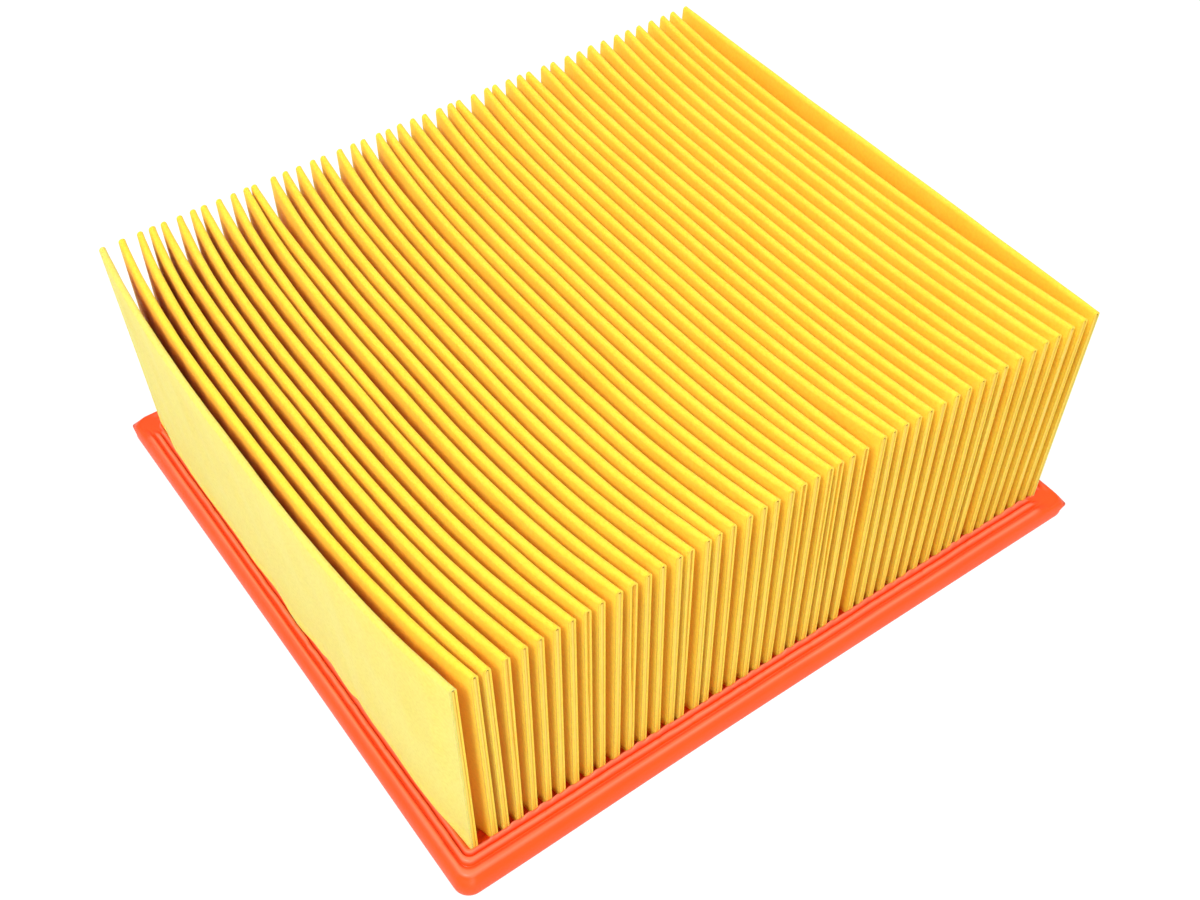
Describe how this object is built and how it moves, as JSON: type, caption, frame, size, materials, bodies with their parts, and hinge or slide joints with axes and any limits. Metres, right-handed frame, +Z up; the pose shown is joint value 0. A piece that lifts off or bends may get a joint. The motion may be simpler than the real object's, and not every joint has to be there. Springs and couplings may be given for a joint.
{
  "type": "pleated panel air filter",
  "caption": "Rectangular panel air filter: tall yellow paper pleats cast into a low orange-red polyurethane seal frame, with open pleat gaps above and a flat sealing face below.",
  "frame": {"origin": "centre of the outline, on the underside of the seal frame", "axes": "+X across the pleats (the longer side), +Y along the pleats towards the rear end, +Z up from the seal frame to the pleats' upper folds"},
  "size_m": [0.22, 0.2, 0.08],
  "materials": {
    "filter_paper": "matte",
    "seal_polyurethane": "satin",
    "seam_glue": "satin"
  },
  "bodies": {
    "root": {"filter_paper": "filter_paper", "seal_frame": "seal_polyurethane", "front_pleat_seams": "seam_glue", "rear_pleat_seams": "seam_glue"}
  },
  "joints": []
}
